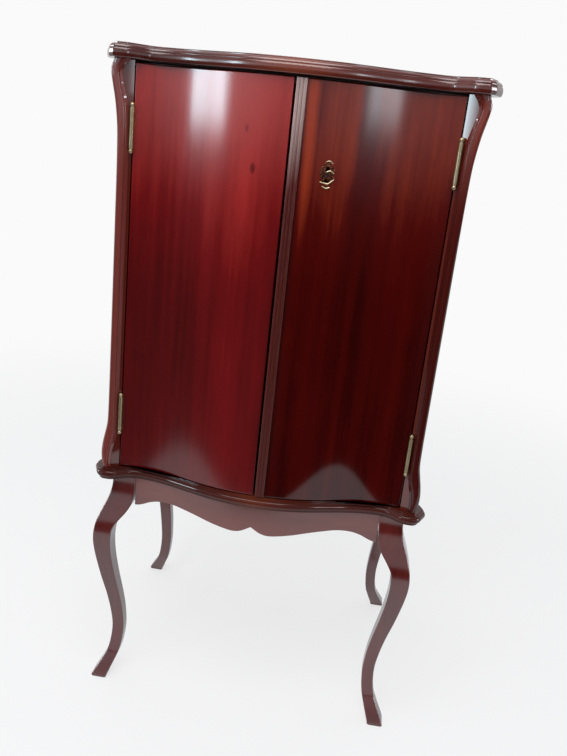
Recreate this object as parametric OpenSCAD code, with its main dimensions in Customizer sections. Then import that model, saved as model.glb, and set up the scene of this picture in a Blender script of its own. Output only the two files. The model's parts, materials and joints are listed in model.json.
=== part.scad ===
// Bow-front music cabinet: a tall, narrow mahogany case on cabriole legs.
// Two solid serpentine doors, shaped corner posts, eared top and base boards,
// five thin shelves for sheet music inside.
// Origin: centre of the footprint, feet on z = 0, front towards -Y.

/* [Case] */
// Width over the two side panels
case_w = 505; // [470:1:560]
// Depth from the face of the stiles to the back of the case
case_d = 372; // [330:1:420]
// Height of the case between base board and top board
case_h = 635; // [560:0.5:720]
// Thickness of the side panels and stiles
side_t = 16; // [14:0.5:18]
// Thickness of the back panel
back_t = 8; // [6:0.5:10]
// Depth of the stiles at the front corners
stile_d = 20; // [18:0.5:24]

/* [Front curve] */
// How far the middle of the doors bows forward of their hollows
bow = 40; // [28:0.5:46]
// How far the hollows lie behind the faces of the stiles
hollow = 2; // [1:0.5:3]
// Thickness of the doors
door_t = 20; // [18:0.5:22]
// Gap below the doors and beside their hinged edges
door_gap = 1.6; // [1.2:0.1:2]
// Gap above the doors
head_gap = 4; // [2.5:0.5:5]
// Gap between the two doors
meet_gap = 3.6; // [2.4:0.2:5]

/* [Top and base boards] */
// Thickness of the top board
top_t = 21; // [18:0.5:26]
// Thickness of the base board
base_t = 20; // [18:0.5:24]
// How far the boards reach past the bow of the doors
lip = 9; // [7:0.5:12]
// How far the front ears reach past the side panels
ear_out = 28; // [24:0.5:32]
// How far the ears stand forward of the stiles
ear_front = 22; // [18:0.5:25]
// How far the straight sides of the boards pass the side panels
side_lip = 12; // [10:0.5:16]
// How far the boards pass the back of the case
back_lip = 12; // [11:0.5:20]

/* [Corner posts] */
// How far the posts stand proud of the stiles
post_proud = 12; // [10:0.5:13]
// Width of the post at mid height
post_w = 15.5; // [13:0.5:16]
// How far the upper end of the post sweeps out past the side panel
sweep_top = 16; // [12:0.5:18]
// How far the lower end of the post sweeps out past the side panel
sweep_low = 12; // [9:0.5:14]
// How far the post stands out past the side panel at mid height
post_out_mid = 3; // [2:0.5:4]

/* [Legs] */
// Height of the legs under the base board
leg_h = 399; // [360:1:430]
// Side of the square foot
foot_w = 27; // [24:0.5:30]
// How far the feet stand out past the side panels
foot_out = 14.3; // [9:0.1:20]
// How far the front feet stand forward of the stiles
foot_front = 18.5; // [14:0.5:22]
// How far the rear feet stand behind the back
foot_back = 6.5; // [4:0.5:10]
// Slimmest part of the leg, at the ankle
ankle_w = 21; // [19:0.5:23]
// Side of the square block at the head of the leg
head_w = 40; // [38:0.5:44]
// How far the ankle stands in from the foot
ankle_in = 27; // [22:0.5:30]
// How far the knee swells past the foot
knee_out = 3.7; // [2:0.1:6]
// How far the head of the leg stands in from the foot
head_in = 20; // [18:0.5:22]

/* [Aprons] */
// Depth of the front apron at its deepest
apron_h = 50; // [44:0.5:56]
// Depth of the side aprons at their deepest
side_apron_h = 48; // [42:0.5:54]
// Depth of the rear apron at its deepest
rear_apron_h = 44; // [38:0.5:50]
// Thickness of the aprons
apron_t = 18; // [15:0.5:20]
// How far the aprons are set in from the faces of the leg heads
apron_set = 3; // [2:0.5:5]
// How far the face of the front apron lies behind the doors
apron_back = 2; // [1:0.5:4]
// Width and height of the glue blocks
block_w = 20; // [16:1:24]
// Length of the glue blocks
block_l = 40; // [30:1:50]

/* [Shelves] */
// Thickness of a shelf
shelf_t = 9; // [7:0.5:12]
// Cleat under each shelf end, height
cleat_h = 10; // [8:0.5:12]
// Cleat under each shelf end, width
cleat_w = 10; // [8:0.5:12]

/* [Hinges] */
// Length of the knuckles of a hinge
hinge_l = 57; // [50:1:62]
// Diameter of the hinge barrel
barrel_d = 6.4; // [5.8:0.1:6.8]
// Diameter of the hinge pin
pin_d = 3.2; // [2.8:0.1:3.6]
// Diameter of the ball at each end of a hinge
ball_d = 7; // [6.4:0.1:7.4]
// Thickness of a hinge leaf
leaf_t = 1.5; // [1.2:0.1:1.8]
// Depth of a hinge leaf, front to back
leaf_w = 14; // [12:0.5:16]
// Diameter of the screw heads
head_d = 6; // [5:0.1:7]
// Diameter of the screws
screw_d = 2.8; // [2.4:0.1:3.2]
// Length of the screws in the stiles
case_screw_l = 9; // [8:0.5:11]
// Length of the screws in the doors
door_screw_l = 12; // [10:0.5:14]
// Height of the upper hinge above the base board, as a part of the case height
hinge_up = 0.853; // [0.82:0.001:0.87]
// Height of the lower hinge above the base board, as a part of the case height
hinge_low = 0.151; // [0.13:0.001:0.18]

/* [Lock and bolts] */
// Distance from the middle of the cabinet to the keyhole
key_x = 57; // [52:0.5:60]
// Height of the keyhole above the base board, as a part of the case height
key_up = 0.802; // [0.76:0.001:0.81]
// Width of the escutcheon
esc_w = 21; // [18:0.5:24]
// Height of the escutcheon
esc_h = 39; // [35:0.5:42]
// Throw of the lock bolt
lock_throw = 9; // [8:0.5:10]
// Width of the bead on the right door's edge
bead_w = 15; // [12:0.5:18]
// Throw of the flush bolts inside the left door
bolt_throw = 10; // [8:0.5:11]
// Diameter of the flush bolts
bolt_d = 5; // [4:0.5:6]
// Width of the plates that carry the flush bolts
plate_w = 16; // [14:0.5:18]
// Length of the plates that carry the flush bolts
plate_l = 76; // [72:1:84]
// Distance between the two guides of a flush bolt
guide_gap = 44; // [40:1:48]
// Width of the keeper plates in the boards
keeper_w = 16; // [14:0.5:18]
// Depth of the keeper plates in the boards, front to back
keeper_d = 12; // [11:0.5:14]

/* [Hidden] */

shelf_n = 5;
// Clearance round the let-in plates
fit = 0.1;
half_w = case_w / 2;
foot_span = case_w + 2 * foot_out;
// The faces of the stiles are splayed: their outer edges stand forward
splay = 0.62 * post_proud;
inner_w = case_w - 2 * side_t;
z_base = leg_h + base_t;
z_top = z_base + case_h;
total_d = lip + bow - hollow + case_d + back_lip;
face_y = -total_d / 2 + lip + bow - hollow;
back_y = face_y + case_d;
// Half-length of the front wave, from the middle of the bow to the hollow
wave_x = 0.406 * case_w;
door_x = inner_w / 2 - door_gap;
door_z0 = z_base + door_gap;
door_z1 = z_top - head_gap;
meet = meet_gap / 2;
// Hinge axis, just proud of the stile faces and midway in the gap
hinge_x = inner_w / 2 - door_gap / 2;
hinge_y = face_y - barrel_d / 2 - 2.8;
z_hinges = [z_base + hinge_low * case_h, z_base + hinge_up * case_h];
z_key = z_base + key_up * case_h;
wood = [0.42, 0.13, 0.09];
wood_dark = [0.36, 0.10, 0.07];
wood_inside = [0.55, 0.33, 0.20];
brass = [0.78, 0.62, 0.34];
steel = [0.62, 0.62, 0.60];
$fn = 32;

// Serpentine front line, y at distance x from the middle
function wave(x) = face_y + hollow - bow * (1 + cos(180 * x / wave_x)) / 2;
// Slope of the serpentine line, in degrees
function wave_angle(x) = atan(bow * PI / (2 * wave_x) * sin(180 * x / wave_x));
// Smooth value through the knots [position, value] at position t
function knot_slope(k, i) = i == 0 ? 0 : i == len(k) - 1 ? 0
    : (k[i + 1][1] - k[i - 1][1]) / (k[i + 1][0] - k[i - 1][0]);
function knot_find(k, t, i = 0) = i >= len(k) - 2 || t <= k[i + 1][0] ? i : knot_find(k, t, i + 1);
function spline_in(a, b, ma, mb, u, h) = (2 * u ^ 3 - 3 * u ^ 2 + 1) * a + (u ^ 3 - 2 * u ^ 2 + u) * h * ma
    + (3 * u ^ 2 - 2 * u ^ 3) * b + (u ^ 3 - u ^ 2) * h * mb;
function spline(k, t) = let (i = knot_find(k, t), h = k[i + 1][0] - k[i][0], u = (t - k[i][0]) / h)
    spline_in(k[i][1], k[i + 1][1], knot_slope(k, i), knot_slope(k, i + 1), u, h);
function bezier(a, b, c, d, u) = a * (1 - u) ^ 3 + b * 3 * u * (1 - u) ^ 2 + c * 3 * u ^ 2 * (1 - u) + d * u ^ 3;
function unit(v) = v / norm(v);
function reverse(v) = [for (i = [len(v) - 1:-1:0]) v[i]];
function mirror_x(v) = [for (p = v) [-p[0], p[1]]];
// Outline moved inwards by d, corner by corner; the outline runs anticlockwise
function inset_outline(v, d) = let (n = len(v)) [for (i = [0:n - 1])
    let (a = unit(v[i] - v[(i + n - 1) % n]), b = unit(v[(i + 1) % n] - v[i]),
        na = [-a[1], a[0]], nb = [-b[1], b[0]])
    v[i] + (na + nb) * d / (1 + na * nb)];

// Solid through a stack of rings, each a list of points of the same count.
// cap splits the end faces into convex parts, given as lists of ring places
module loft(rings, cap = []) {
    n = len(rings[0]);
    m = len(rings);
    points = [for (r = rings) for (p = r) p];
    walls = [for (j = [0:m - 2]) for (i = [0:n - 1]) let (k = (i + 1) % n)
        each [[j * n + i, (j + 1) * n + k, j * n + k], [j * n + i, (j + 1) * n + i, (j + 1) * n + k]]];
    parts = len(cap) > 0 ? cap : [[for (i = [0:n - 1]) i]];
    floors = parts;
    roofs = [for (c = parts) [for (i = reverse(c)) (m - 1) * n + i]];
    polyhedron(points, concat(floors, walls, roofs), convexity = 8);
}

// Right half of a board's outline, from the middle of the front to the back corner.
// The ear has a canted corner and a side that flares out to its widest point
function board_half(lip_mid, dip, ear_x, ear_y, side_x) = let (xe = half_w - 46, ye = wave_y(xe, lip_mid, dip)) concat(
    [for (i = [0:16]) let (x = xe * i / 16) [x, wave_y(x, lip_mid, dip)]],
    [for (i = [1:8]) bezier([xe, ye], [xe + 14, ye], [half_w - 18, ear_y], [half_w - 3, ear_y], i / 8)],
    [[half_w + 0.3 * ear_x, ear_y], [half_w + 0.6 * ear_x, ear_y + 0.3 * ear_front]],
    [for (i = [0:8]) bezier([half_w + ear_x, face_y + 10], [half_w + ear_x, face_y + 28],
        [half_w + side_x, face_y + 34], [half_w + side_x, face_y + 62], i / 8)],
    [[half_w + side_x, back_y + back_lip]]);
// Front line of the boards: the doors' wave with a lip, of which the share dip is left in the hollows
function wave_y(x, lip_mid, dip) = wave(x) - lip_mid * (1 + dip + (1 - dip) * cos(180 * x / wave_x)) / 2;
function board_outline(lip_mid, dip, ear_x, ear_y, side_x) = let (h = board_half(lip_mid, dip, ear_x, ear_y, side_x))
    concat(h, reverse(mirror_x([for (i = [1:len(h) - 1]) h[i]])));

// Board with a moulded edge: profile is a list of [distance in, height].
// The moulding runs round the edge as a closed strip and the flat board fills its inside
module moulded_board(outline, profile, z0) {
    strip = concat(profile, [[13, profile[len(profile) - 1][1]], [13, profile[0][1]]]);
    n = len(outline);
    m = len(strip);
    rows = [for (p = strip) [for (q = inset_outline(outline, p[0])) [q[0], q[1], z0 + p[1]]]];
    polyhedron([for (r = rows) for (q = r) q], [for (j = [0:m - 1]) for (i = [0:n - 1])
        let (k = (i + 1) % n, l = (j + 1) % m)
        each [[j * n + i, l * n + k, j * n + k], [j * n + i, l * n + i, l * n + k]]], convexity = 8);
    translate([0, 0, z0 + profile[0][1]]) linear_extrude(profile[len(profile) - 1][1] - profile[0][1])
        polygon(inset_outline(outline, 11));
}

module base_board() {
    outline = board_outline(lip - 1, 0.56, ear_out, face_y - ear_front + 1, side_lip);
    bead = base_t - 9.3;
    profile = concat([[5.5, 0], [5, 0.5], [5, 4.2]],
        [for (a = [-60:24:60]) [4.6 - 4.6 * cos(a), 4.4 + bead / 2 + bead / 2 * sin(a) / sin(60)]],
        [[3.4, base_t - 4.6], [3.4, base_t - 2.6], [5.6, base_t - 2.3], [5.6, base_t - 0.5], [6.1, base_t]]);
    color(wood) difference() {
        moulded_board(outline, profile, leg_h);
        translate([-bolt_x, bolt_y, z_base - bolt_throw - 3]) cylinder(d = bolt_d + 1.6, h = bolt_throw + 4);
        translate([-bolt_x - keeper_w / 2, bolt_y - keeper_d / 2, z_base - 1]) cube([keeper_w, keeper_d, 2]);
    }
}

module top_board() {
    outline = board_outline(lip, 0.33, ear_out + 1, face_y - ear_front - 1, side_lip);
    band = top_t * 0.6;
    cove = top_t - band - 3;
    profile = concat([[1.2, 0], [0, 1.2], [0, band], [1.8, band + 0.3]],
        [for (a = [0:18:90]) [8 - 6.2 * cos(a), band + 0.8 + cove * sin(a)]],
        [[8.6, top_t - 1.4], [9.6, top_t]]);
    color(wood) difference() {
        moulded_board(outline, profile, z_top);
        translate([-bolt_x, bolt_y, z_top - 1]) cylinder(d = bolt_d + 1.6, h = bolt_throw + 4);
        translate([-bolt_x - keeper_w / 2, bolt_y - keeper_d / 2, z_top - 1]) cube([keeper_w, keeper_d, 2]);
    }
}

// Cabriole leg: a square section that swells at the knee and draws in at the ankle.
// line holds how far the outer corner stands in from the foot, size the side of the section
leg_line = [[0, 0], [0.012, 0.5], [0.04, 0.24 * ankle_in], [0.075, 0.52 * ankle_in], [0.115, 0.78 * ankle_in],
    [0.17, 0.94 * ankle_in], [0.245, ankle_in], [0.33, 0.87 * ankle_in], [0.42, 0.64 * ankle_in],
    [0.52, 0.32 * ankle_in], [0.62, 0.04 * ankle_in], [0.69, -0.8 * knee_out], [0.735, -knee_out],
    [0.775, -0.6 * knee_out], [0.81, 0.05 * head_in], [0.85, 0.34 * head_in], [0.89, 0.66 * head_in],
    [0.93, 0.9 * head_in], [0.965, head_in], [1, head_in]];
leg_size = [[0, foot_w], [0.012, foot_w], [0.05, foot_w - 2.4], [0.09, ankle_w + 1.2], [0.14, ankle_w],
    [0.26, ankle_w], [0.33, ankle_w + 1.2], [0.42, ankle_w + 2.6], [0.52, ankle_w + 4.8],
    [0.62, ankle_w + 7], [0.69, ankle_w + 9], [0.735, ankle_w + 10], [0.775, 0.8 * head_w],
    [0.81, 0.92 * head_w], [0.85, 1.07 * head_w], [0.885, 1.1 * head_w], [0.92, 1.03 * head_w],
    [0.95, head_w], [1, head_w]];
foot_pad = 3.2;
leg_front_y = face_y - foot_front;
leg_rear_y = back_y + foot_back;
module leg() {
    steps = concat([(foot_pad - 0.01) / leg_h, 0.025], [for (i = [1:27]) 0.04 + (0.96 - 0.04) * (i - 1) / 26], [1]);
    rings = [for (t = steps) let (s = spline(leg_size, t), d = spline(leg_line, t), c = 1.1)
        [for (p = [[0, c], [c, 0], [s - c, 0], [s, c], [s, s - c], [s - c, s], [c, s], [0, s - c]])
            [d + p[0], d + p[1], t * leg_h]]];
    translate([-foot_span / 2, 0, 0]) {
        loft(rings);
        translate([0.6, 0.6, 0]) cube([foot_w - 1.2, foot_w - 1.2, foot_pad]);
    }
}
module leg_front_left() { color(wood) translate([0, leg_front_y, 0]) leg(); }
module leg_front_right() { color(wood) mirror([1, 0, 0]) translate([0, leg_front_y, 0]) leg(); }
module leg_rear_left() { color(wood) translate([0, leg_rear_y, 0]) mirror([0, 1, 0]) leg(); }
module leg_rear_right() { color(wood) mirror([1, 0, 0]) translate([0, leg_rear_y, 0]) mirror([0, 1, 0]) leg(); }
head_x = foot_span / 2 - head_in - head_w;
head_front = leg_front_y + head_in;
head_rear = leg_rear_y - head_in;

// Scalloped rail: depth of the lower edge at each part u of the half length
front_scallop = [[0, 0.76], [0.065, 0.925], [0.13, 1], [0.2, 0.985], [0.33, 0.9], [0.45, 0.8], [0.56, 0.73],
    [0.68, 0.68], [0.79, 0.72], [0.87, 0.82], [0.93, 0.94], [0.97, 1], [1, 1.01]];
plain_scallop = [[0, 0.64], [0.4, 0.64], [0.72, 0.7], [0.88, 0.92], [1, 1]];
module apron_front() {
    n = 44;
    color(wood) loft([for (i = [-n:n]) let (u = abs(i) / n, x = head_x * i / n, y = wave(x) + apron_back,
        z = leg_h - apron_h * (u < 0.065 ? 0.76 + 0.165 * u / 0.065 : spline(front_scallop, u)))
        [[x, y, leg_h], [x, y + 0.6, z], [x, y + apron_t, z + 0.4], [x, y + apron_t, leg_h]]]);
}
module plain_apron(length, sag) {
    n = 14;
    loft([for (i = [-n:n]) let (u = abs(i) / n, x = length / 2 * i / n,
        z = leg_h - sag * spline(plain_scallop, u))
        [[x, 0, leg_h], [x, 0, z], [x, apron_t, z], [x, apron_t, leg_h]]]);
}
side_apron_l = head_rear - head_front - 2 * head_w;
module apron_left() {
    color(wood) translate([-head_x - head_w + apron_set, (head_front + head_rear) / 2, 0]) rotate([0, 0, -90])
        plain_apron(side_apron_l, side_apron_h);
}
module apron_right() { color(wood) mirror([1, 0, 0]) translate([-head_x - head_w + apron_set, (head_front + head_rear) / 2, 0])
    rotate([0, 0, -90]) plain_apron(side_apron_l, side_apron_h); }
module apron_rear() {
    color(wood_dark) translate([0, head_rear - apron_set - apron_t, 0]) plain_apron(2 * head_x, rear_apron_h);
}
// Triangular glue blocks in the angle of aprons and base board
module glue_block(l) {
    rotate([90, 0, 0]) linear_extrude(l) polygon([[0, 0], [block_w, 0], [0, -block_w]]);
}
module glue_blocks() {
    inner = head_x + head_w - apron_set - apron_t;
    color(wood_inside) for (s = [-1, 1]) for (q = [0.25, 0.75])
        translate([s * inner, head_front + head_w + side_apron_l * q + block_l / 2, leg_h])
            mirror([s > 0 ? 1 : 0, 0, 0]) glue_block(block_l);
    color(wood_inside) for (q = [-1, 0, 1])
        translate([q * head_x * 0.62 - block_l / 2, head_rear - apron_set - apron_t, leg_h])
            rotate([0, 0, -90]) glue_block(block_l);
}

module side_panel() {
    difference() {
        translate([-half_w, face_y + stile_d, z_base]) cube([side_t, case_d - stile_d, case_h]);
        translate([-half_w + side_t / 2, back_y - back_t, z_base - 1]) cube([side_t, back_t + 1, case_h + 2]);
    }
}
module side_left() { color(wood_dark) side_panel(); }
module side_right() { color(wood_dark) mirror([1, 0, 0]) side_panel(); }
module back_panel() {
    color(wood_inside) difference() {
        translate([-half_w + side_t / 2, back_y - back_t, z_base]) cube([case_w - side_t, back_t, case_h]);
        for (p = back_screw_at) translate([p[0], back_y + 0.01, p[1]]) rotate([90, 0, 0]) countersink(0.03, back_t + 1);
    }
}
back_screw_at = [for (s = [-1, 1]) for (q = [0.08, 0.5, 0.92]) [s * (inner_w / 2 - 30), z_base + q * case_h]];
// Countersunk screw along +Z from its head at z = 0
module countersink(extra, l) {
    cylinder(d1 = head_d + 2 * extra, d2 = screw_d + 2 * extra, h = (head_d - screw_d) / 2);
    cylinder(d = screw_d + 2 * extra, h = l);
}
module screw(l) {
    difference() {
        countersink(0, l);
        translate([-head_d, -0.4, -1]) cube([2 * head_d, 0.8, 1.5]);
    }
}

module stile() {
    difference() {
        translate([0, 0, z_base]) linear_extrude(case_h) polygon([[-half_w, face_y - splay],
            [-inner_w / 2, face_y], [-inner_w / 2, face_y + stile_d], [-half_w, face_y + stile_d]]);
        for (z = z_hinges) {
            translate([-inner_w / 2 - leaf_t, face_y - splay, z - hinge_l / 2]) cube([leaf_t + 1, leaf_w + splay, hinge_l]);
            for (k = [-1, 0, 1]) translate([-inner_w / 2, face_y + leaf_w / 2, z + k * hinge_l * 0.36])
                rotate([0, -90, 0]) countersink(0.03, case_screw_l + 0.05);
        }
    }
}
module stile_left() { color(wood) stile(); }
module stile_right() { color(wood) mirror([1, 0, 0]) stile(); }

// Corner post: an S-curved pilaster that stands on the splayed stile and wraps the corner of the case.
// Its inner side is a splayed facet, and at the top and bottom it curves away from the door
post_out = [[0, 0.7 * sweep_low], [0.02, 0.95 * sweep_low], [0.045, sweep_low], [0.07, 0.86 * sweep_low],
    [0.095, 0.6 * sweep_low], [0.125, 0.32 * sweep_low], [0.165, post_out_mid], [0.22, 0.93 * post_out_mid],
    [0.5, post_out_mid], [0.72, 1.06 * post_out_mid], [0.8, 1.2 * post_out_mid],
    [0.85, 0.28 * sweep_top], [0.885, 0.41 * sweep_top], [0.915, 0.58 * sweep_top], [0.94, 0.78 * sweep_top],
    [0.962, 0.95 * sweep_top], [0.98, sweep_top], [1, 0.76 * sweep_top]];
post_in_mid = post_out_mid - post_w;
post_in = [[0, 0.32 * post_in_mid], [0.025, 0.3 * post_in_mid], [0.05, 0.48 * post_in_mid],
    [0.07, 0.72 * post_in_mid], [0.095, 0.98 * post_in_mid], [0.13, post_in_mid], [0.78, post_in_mid],
    [0.87, 0.95 * post_in_mid], [0.9, 0.8 * post_in_mid], [0.925, 0.54 * post_in_mid], [0.95, 0.23 * post_in_mid],
    [0.968, 0.07 * post_in_mid], [0.982, 0.26 * post_in_mid], [0.991, 0.54 * post_in_mid], [1, 0.88 * post_in_mid]];
// Line of the stile's splayed face at distance x past the side panel
function splay_y(x) = face_y - splay * (x + side_t) / side_t;
module post() {
    steps = concat([for (i = [0:9]) 0.018 * i], [0.24, 0.5, 0.72], [for (i = [0:8]) 0.784 + 0.018 * i],
        [for (i = [1:6]) 0.928 + 0.012 * i]);
    y1 = face_y - post_proud;
    rings = [for (t = steps) let (a = min(spline(post_in, t), -0.5), b = spline(post_out, t), r = 5,
        s = [a, splay_y(a) - 1.2], e = [a + 4.4, y1], p = s + 0.75 * (e - s), q = e + [1.4, 0])
        [for (p = concat([[a, splay_y(a)], s, p, (p + 2 * e + q) / 4, q],
            [for (c = [0:30:90]) [b - r + r * sin(c), y1 + r - r * cos(c)]],
            [[b, face_y + stile_d - 2], [b - 2, face_y + stile_d], [0, face_y + stile_d], [0, splay_y(0)]]))
            [-half_w - p[0], p[1], z_base + t * case_h]]];
    loft([for (r = rings) reverse(r)], post_caps);
}
// Ends of the post in convex parts: the flange beside the case, the front and the facet
post_caps = [[0, 1, 2, 3, 4], [0, 4, 5, 6, 7, 8], [0, 8, 9, 10, 11, 12]];
module post_left() { color(wood) post(); }
module post_right() { color(wood) mirror([1, 0, 0]) post(); }

// Rail behind the heads of the doors that stops them
module stop_rail() {
    color(wood_dark) translate([-inner_w / 2, face_y + hollow + door_t + 0.5, z_top - 16])
        cube([inner_w, 12, 16]);
}
top_cleat_y = face_y + hollow + door_t + 14;
module top_cleats() {
    color(wood_inside) for (s = [-1, 1])
        translate([s > 0 ? inner_w / 2 - 14 : -inner_w / 2, top_cleat_y, z_top - 14])
            cube([14, back_y - back_t - 6 - top_cleat_y, 14]);
}

// Shelves stand on cleats; the bays are equal
shelf_front = face_y + hollow + door_t + 4;
bay_h = (case_h - shelf_n * shelf_t) / (shelf_n + 1);
function shelf_z(i) = z_base + i * bay_h + (i - 1) * shelf_t;
module shelf(i) {
    color(wood_inside) translate([-inner_w / 2 + 0.3, shelf_front, shelf_z(i)])
        cube([inner_w - 0.6, back_y - back_t - 0.3 - shelf_front, shelf_t]);
}
module shelf_1() { shelf(1); }
module shelf_2() { shelf(2); }
module shelf_3() { shelf(3); }
module shelf_4() { shelf(4); }
module shelf_5() { shelf(5); }
module cleats() {
    for (i = [1:shelf_n]) translate([-inner_w / 2, shelf_front + 8, shelf_z(i)]) rotate([-90, 0, 0])
        linear_extrude(back_y - back_t - 12 - shelf_front)
            polygon([[0, 0], [cleat_w, 0], [cleat_w, cleat_h - 3], [cleat_w - 3, cleat_h], [0, cleat_h]]);
}
module cleats_left() { color(wood_inside) cleats(); }
module cleats_right() { color(wood_inside) mirror([1, 0, 0]) cleats(); }

// Door: a solid leaf of even thickness along the serpentine line, x0 to x1
module door_leaf(x0, x1) {
    n = 32;
    line = [for (i = [0:n]) let (x = x0 + (x1 - x0) * i / n) [x, wave(x)]];
    linear_extrude(door_z1 - door_z0)
        polygon(concat(line, [for (p = reverse(line)) [p[0], p[1] + door_t]]));
}
// Recesses and screw holes for the door leaves of the hinges, left side
module hinge_mortises() {
    for (z = z_hinges) {
        translate([-door_x - 1, face_y - 8, z - hinge_l / 2]) cube([leaf_t + 1, leaf_w + 8, hinge_l]);
        for (k = [-1, 0, 1]) translate([-door_x, face_y + leaf_w / 2, z + k * hinge_l * 0.36])
            rotate([0, 90, 0]) countersink(0.03, door_screw_l + 0.05);
    }
}
bolt_x = 16;
plate_y = wave(0) + door_t - 0.3;
bolt_y = plate_y + 1.6 + bolt_d / 2 + 1;
guide_z = [door_z0 + 44, door_z1 - 44];
module door_left() {
    color(wood) difference() {
        translate([0, 0, door_z0]) door_leaf(-door_x, -meet);
        hinge_mortises();
        for (z = guide_z) translate([-bolt_x - plate_w / 2 - fit, plate_y, z - plate_l / 2 - fit])
            cube([plate_w + 2 * fit, 6, plate_l + 2 * fit]);
        translate([-strike_w - meet - 0.3, plate_y, z_key + bolt_up - 15.1]) cube([strike_w + 4, 6, 30.2]);
    }
}
module keyhole(l) {
    rotate([90, 0, 0]) {
        cylinder(d = 4, h = l, center = true);
        translate([-0.9, -7, -l / 2]) cube([1.8, 7, l]);
    }
}
lock_y = wave(0) + door_t - 4;
lock_w = key_x + 14;
lock_h = 52;
lock_t = 12;
lock_x = meet + 1.2;
module door_right() {
    color(wood) difference() {
        translate([0, 0, door_z0]) door_leaf(meet, door_x);
        mirror([1, 0, 0]) hinge_mortises();
        translate([lock_x - 0.1, lock_y, z_key - lock_h / 2 - 0.1]) cube([lock_w + 0.2, 30, lock_h + 0.2]);
        translate([key_x, wave(key_x), z_key]) keyhole(60);
    }
}

// Reeded bead fixed to the meeting edge of the right door, on its own side of the gap
module astragal() {
    n = 24;
    x0 = meet;
    function reed(u) = 2.6 + 1.3 * abs(sin(540 * u)) ^ 0.6;
    color(wood) translate([0, 0, door_z0]) linear_extrude(door_z1 - door_z0) polygon(concat(
        [for (i = [0:n]) let (x = x0 + bead_w * i / n) [x, wave(x) - reed(i / n)]],
        [for (i = [8:-1:0]) let (x = x0 + bead_w * i / 8) [x, wave(x) - 0.04]]));
}

// Half of a butt hinge: knuckles at every other place, and the leaf in its recess.
// first is 0 for the case half and 1 for the door half, side is -1 left and 1 right
module hinge_half(z, first, side) {
    step = hinge_l / 5;
    leaf_x = first == 0 ? inner_w / 2 : door_x - leaf_t;
    mirror([side < 0 ? 1 : 0, 0, 0]) difference() {
        union() {
            for (k = [first:2:4]) translate([hinge_x, hinge_y, z - hinge_l / 2 + k * step + 0.15])
                cylinder(d = barrel_d, h = step - 0.3);
            for (k = [first:2:4]) translate([leaf_x, hinge_y, z - hinge_l / 2 + k * step + 0.15])
                cube([leaf_t, face_y - hinge_y + 1, step - 0.3]);
            translate([leaf_x, hinge_y + barrel_d / 2 + 0.4, z - hinge_l / 2])
                cube([leaf_t, face_y + leaf_w - hinge_y - barrel_d / 2 - 0.4, hinge_l]);
        }
        translate([hinge_x, hinge_y, z - hinge_l]) cylinder(d = pin_d + 0.1, h = 2 * hinge_l);
        for (k = [-1, 0, 1]) translate([first == 0 ? inner_w / 2 : door_x, face_y + leaf_w / 2, z + k * hinge_l * 0.36])
            rotate([0, first == 0 ? 90 : -90, 0]) countersink(0.03, case_screw_l);
    }
}
module hinge_upper_left_case() { color(brass) hinge_half(z_hinges[1], 0, -1); }
module hinge_lower_left_case() { color(brass) hinge_half(z_hinges[0], 0, -1); }
module hinge_upper_right_case() { color(brass) hinge_half(z_hinges[1], 0, 1); }
module hinge_lower_right_case() { color(brass) hinge_half(z_hinges[0], 0, 1); }
module hinge_upper_left_door() { color(brass) hinge_half(z_hinges[1], 1, -1); }
module hinge_lower_left_door() { color(brass) hinge_half(z_hinges[0], 1, -1); }
module hinge_upper_right_door() { color(brass) hinge_half(z_hinges[1], 1, 1); }
module hinge_lower_right_door() { color(brass) hinge_half(z_hinges[0], 1, 1); }
// Pins with a ball at each end
module hinge_pins() {
    color(brass) for (s = [-1, 1]) for (z = z_hinges) translate([s * hinge_x, hinge_y, z]) {
        cylinder(d = pin_d, h = hinge_l, center = true);
        for (e = [-1, 1]) {
            translate([0, 0, e * (hinge_l / 2 + 0.5)]) cylinder(d = barrel_d - 1.4, h = 1.3, center = true);
            translate([0, 0, e * (hinge_l / 2 + ball_d / 2 + 0.4)]) sphere(d = ball_d);
        }
    }
}

module screws_case() {
    color(brass) for (s = [-1, 1]) for (z = z_hinges) for (k = [-1, 0, 1])
        translate([s * inner_w / 2, face_y + leaf_w / 2, z + k * hinge_l * 0.36])
            rotate([0, s * 90, 0]) screw(case_screw_l);
}
module door_screws(s) {
    for (z = z_hinges) for (k = [-1, 0, 1])
        translate([s * door_x, face_y + leaf_w / 2, z + k * hinge_l * 0.36]) rotate([0, -s * 90, 0]) screw(door_screw_l);
}
module screws_door_left() { color(brass) door_screws(-1); }
module screws_door_right() { color(brass) door_screws(1); }
module back_screws() {
    color(steel) for (p = back_screw_at) translate([p[0], back_y + 0.01, p[1]]) rotate([90, 0, 0]) screw(back_t);
}

// Cast keyhole plate: a cartouche with scrolled sides, a crest and a drop
module escutcheon_outline() {
    w = esc_w;
    h = esc_h;
    difference() {
        union() {
            scale([w * 0.33 / 10, w * 0.33 / 10]) circle(r = 10);
            for (s = [-1, 1]) {
                translate([s * w * 0.3, h * 0.17]) circle(d = w * 0.36);
                translate([s * w * 0.26, -h * 0.15]) circle(d = w * 0.34);
                translate([s * w * 0.4, 0]) circle(d = w * 0.2);
                translate([s * w * 0.14, h * 0.31]) circle(d = w * 0.3);
            }
            polygon([[-w * 0.3, h * 0.2], [-w * 0.1, h * 0.42], [w * 0.1, h * 0.42], [w * 0.3, h * 0.2],
                [w * 0.26, -h * 0.2], [w * 0.08, -h * 0.4], [-w * 0.08, -h * 0.4], [-w * 0.26, -h * 0.2]]);
            translate([0, h * 0.42]) circle(d = h * 0.16);
            translate([0, -h * 0.43]) circle(d = h * 0.14);
        }
        circle(d = 4);
        translate([-0.9, -7]) square([1.8, 7]);
    }
}
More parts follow.
